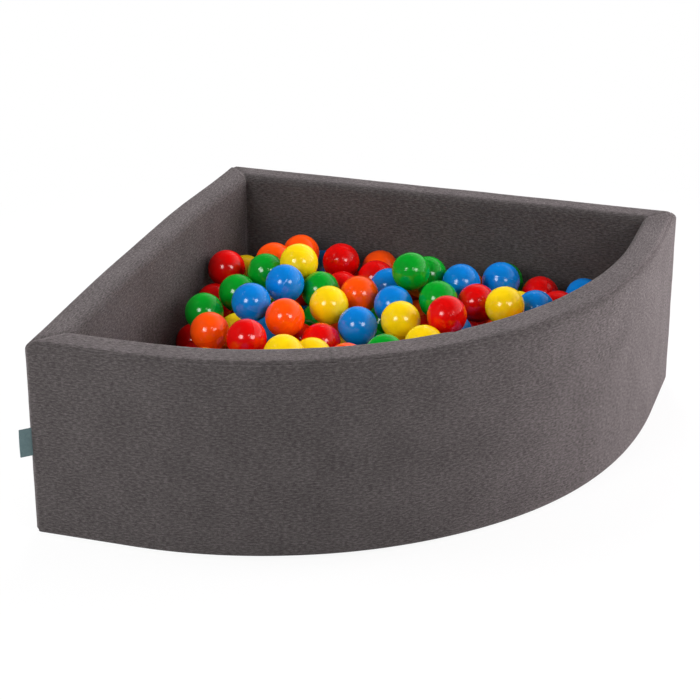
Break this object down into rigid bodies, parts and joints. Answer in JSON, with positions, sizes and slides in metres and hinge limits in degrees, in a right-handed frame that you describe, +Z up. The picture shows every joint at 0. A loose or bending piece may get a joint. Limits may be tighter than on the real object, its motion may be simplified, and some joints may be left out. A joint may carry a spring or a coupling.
{
  "type": "ball pit",
  "caption": "Corner ball pit: foam ring with two straight walls and one bent wall in a grey knit cover, padded floor, zip, side label and coloured plastic balls.",
  "frame": {"origin": "on the floor, at the middle of the square that the plan fits in", "axes": "+X to the right along the back wall, +Y from the bent wall towards the back wall, +Z up"},
  "size_m": [0.9157, 0.9216, 0.336],
  "materials": {
    "foam": "open-cell foam, off-white, matt",
    "grey_knit": "brushed jersey knit, heathered dark grey, matt",
    "sole_cloth": "coarse woven polyester, matt",
    "zip_tape": "woven tape, matt",
    "zip_teeth": "nylon coil, satin",
    "zip_metal": "nickel, satin",
    "label_ribbon": "woven ribbon, slight sheen",
    "ball_red": "blow-moulded polyethylene, glossy",
    "ball_orange": "blow-moulded polyethylene, glossy",
    "ball_yellow": "blow-moulded polyethylene, glossy",
    "ball_green": "blow-moulded polyethylene, glossy",
    "ball_blue": "blow-moulded polyethylene, glossy"
  },
  "bodies": {
    "root": {"foam_wall_left": "foam", "foam_wall_arc": "foam", "foam_wall_back": "foam", "foam_base": "foam", "outer_panel_left": "grey_knit", "outer_panel_arc": "grey_knit", "outer_panel_back": "grey_knit", "lining_left": "grey_knit", "lining_arc": "grey_knit", "lining_back": "grey_knit", "floor_cover": "grey_knit", "underside_cloth": "sole_cloth", "zip_tape_upper": "zip_tape", "zip_tape_lower": "zip_tape", "zip_chain": "zip_teeth", "zip_stop_left": "zip_metal", "zip_stop_right": "zip_metal", "ball_bed": "ball_blue", "held_ball_red_1": "ball_red", "held_ball_red_2": "ball_red", "held_ball_red_3": "ball_red", "held_ball_red_4": "ball_red", "held_ball_orange_1": "ball_orange", "held_ball_orange_2": "ball_orange", "held_ball_yellow_1": "ball_yellow", "held_ball_yellow_2": "ball_yellow", "held_ball_green_1": "ball_green", "held_ball_green_2": "ball_green", "held_ball_blue_1": "ball_blue", "held_ball_blue_2": "ball_blue"},
    "zip_slider": {"zip_slider": "zip_metal"},
    "zip_puller": {"zip_puller": "zip_metal"},
    "side_label": {"side_label": "label_ribbon"},
    "free_ball_red_1": {"free_ball_red_1": "ball_red"},
    "free_ball_red_2": {"free_ball_red_2": "ball_red"},
    "free_ball_red_3": {"free_ball_red_3": "ball_red"},
    "free_ball_red_4": {"free_ball_red_4": "ball_red"},
    "free_ball_orange_1": {"free_ball_orange_1": "ball_orange"},
    "free_ball_orange_2": {"free_ball_orange_2": "ball_orange"},
    "free_ball_orange_3": {"free_ball_orange_3": "ball_orange"},
    "free_ball_orange_4": {"free_ball_orange_4": "ball_orange"},
    "free_ball_yellow_1": {"free_ball_yellow_1": "ball_yellow"},
    "free_ball_yellow_2": {"free_ball_yellow_2": "ball_yellow"},
    "free_ball_yellow_3": {"free_ball_yellow_3": "ball_yellow"},
    "free_ball_yellow_4": {"free_ball_yellow_4": "ball_yellow"},
    "free_ball_yellow_5": {"free_ball_yellow_5": "ball_yellow"},
    "free_ball_yellow_6": {"free_ball_yellow_6": "ball_yellow"},
    "free_ball_green_1": {"free_ball_green_1": "ball_green"},
    "free_ball_green_2": {"free_ball_green_2": "ball_green"},
    "free_ball_green_3": {"free_ball_green_3": "ball_green"},
    "free_ball_green_4": {"free_ball_green_4": "ball_green"},
    "free_ball_blue_1": {"free_ball_blue_1": "ball_blue"},
    "free_ball_blue_2": {"free_ball_blue_2": "ball_blue"},
    "free_ball_blue_3": {"free_ball_blue_3": "ball_blue"},
    "free_ball_blue_4": {"free_ball_blue_4": "ball_blue"},
    "free_ball_blue_5": {"free_ball_blue_5": "ball_blue"},
    "free_ball_blue_6": {"free_ball_blue_6": "ball_blue"},
    "free_ball_blue_7": {"free_ball_blue_7": "ball_blue"}
  },
  "joints": [
    {"name": "zip_slider_slide", "type": "slide", "parent": "root", "child": "zip_slider", "axis": [-1, 0, 0], "range_m": [0, 0.655]},
    {"name": "zip_puller_hinge", "type": "hinge", "parent": "zip_slider", "child": "zip_puller", "pos_m": [0.3297, 0.4538, 0.046], "axis": [0, 0, -1], "range_deg": [0, 170]},
    {"name": "side_label_hinge", "type": "hinge", "parent": "root", "child": "side_label", "pos_m": [-0.44705, -0.44705, 0.163], "axis": [0, 0, 1], "range_deg": [-60, 60], "stiffness_Nm_per_rad": 0.0001},
    {"name": "free_ball_red_1_lift", "type": "slide", "parent": "root", "child": "free_ball_red_1", "axis": [0, 0, 1], "range_m": [0, 0.25]},
    {"name": "free_ball_red_2_lift", "type": "slide", "parent": "root", "child": "free_ball_red_2", "axis": [0, 0, 1], "range_m": [0, 0.25]},
    {"name": "free_ball_red_3_lift", "type": "slide", "parent": "root", "child": "free_ball_red_3", "axis": [0, 0, 1], "range_m": [0, 0.25]},
    {"name": "free_ball_red_4_lift", "type": "slide", "parent": "root", "child": "free_ball_red_4", "axis": [0, 0, 1], "range_m": [0, 0.25]},
    {"name": "free_ball_orange_1_lift", "type": "slide", "parent": "root", "child": "free_ball_orange_1", "axis": [0, 0, 1], "range_m": [0, 0.25]},
    {"name": "free_ball_orange_2_lift", "type": "slide", "parent": "root", "child": "free_ball_orange_2", "axis": [0, 0, 1], "range_m": [0, 0.25]},
    {"name": "free_ball_orange_3_lift", "type": "slide", "parent": "root", "child": "free_ball_orange_3", "axis": [0, 0, 1], "range_m": [0, 0.25]},
    {"name": "free_ball_orange_4_lift", "type": "slide", "parent": "root", "child": "free_ball_orange_4", "axis": [0, 0, 1], "range_m": [0, 0.25]},
    {"name": "free_ball_yellow_1_lift", "type": "slide", "parent": "root", "child": "free_ball_yellow_1", "axis": [0, 0, 1], "range_m": [0, 0.25]},
    {"name": "free_ball_yellow_2_lift", "type": "slide", "parent": "root", "child": "free_ball_yellow_2", "axis": [0, 0, 1], "range_m": [0, 0.25]},
    {"name": "free_ball_yellow_3_lift", "type": "slide", "parent": "root", "child": "free_ball_yellow_3", "axis": [0, 0, 1], "range_m": [0, 0.25]},
    {"name": "free_ball_yellow_4_lift", "type": "slide", "parent": "root", "child": "free_ball_yellow_4", "axis": [0, 0, 1], "range_m": [0, 0.25]},
    {"name": "free_ball_yellow_5_lift", "type": "slide", "parent": "root", "child": "free_ball_yellow_5", "axis": [0, 0, 1], "range_m": [0, 0.25]},
    {"name": "free_ball_yellow_6_lift", "type": "slide", "parent": "root", "child": "free_ball_yellow_6", "axis": [0, 0, 1], "range_m": [0, 0.25]},
    {"name": "free_ball_green_1_lift", "type": "slide", "parent": "root", "child": "free_ball_green_1", "axis": [0, 0, 1], "range_m": [0, 0.25]},
    {"name": "free_ball_green_2_lift", "type": "slide", "parent": "root", "child": "free_ball_green_2", "axis": [0, 0, 1], "range_m": [0, 0.25]},
    {"name": "free_ball_green_3_lift", "type": "slide", "parent": "root", "child": "free_ball_green_3", "axis": [0, 0, 1], "range_m": [0, 0.25]},
    {"name": "free_ball_green_4_lift", "type": "slide", "parent": "root", "child": "free_ball_green_4", "axis": [0, 0, 1], "range_m": [0, 0.25]},
    {"name": "free_ball_blue_1_lift", "type": "slide", "parent": "root", "child": "free_ball_blue_1", "axis": [0, 0, 1], "range_m": [0, 0.25]},
    {"name": "free_ball_blue_2_lift", "type": "slide", "parent": "root", "child": "free_ball_blue_2", "axis": [0, 0, 1], "range_m": [0, 0.25]},
    {"name": "free_ball_blue_3_lift", "type": "slide", "parent": "root", "child": "free_ball_blue_3", "axis": [0, 0, 1], "range_m": [0, 0.25]},
    {"name": "free_ball_blue_4_lift", "type": "slide", "parent": "root", "child": "free_ball_blue_4", "axis": [0, 0, 1], "range_m": [0, 0.25]},
    {"name": "free_ball_blue_5_lift", "type": "slide", "parent": "root", "child": "free_ball_blue_5", "axis": [0, 0, 1], "range_m": [0, 0.25]},
    {"name": "free_ball_blue_6_lift", "type": "slide", "parent": "root", "child": "free_ball_blue_6", "axis": [0, 0, 1], "range_m": [0, 0.25]},
    {"name": "free_ball_blue_7_lift", "type": "slide", "parent": "root", "child": "free_ball_blue_7", "axis": [0, 0, 1], "range_m": [0, 0.25]}
  ]
}
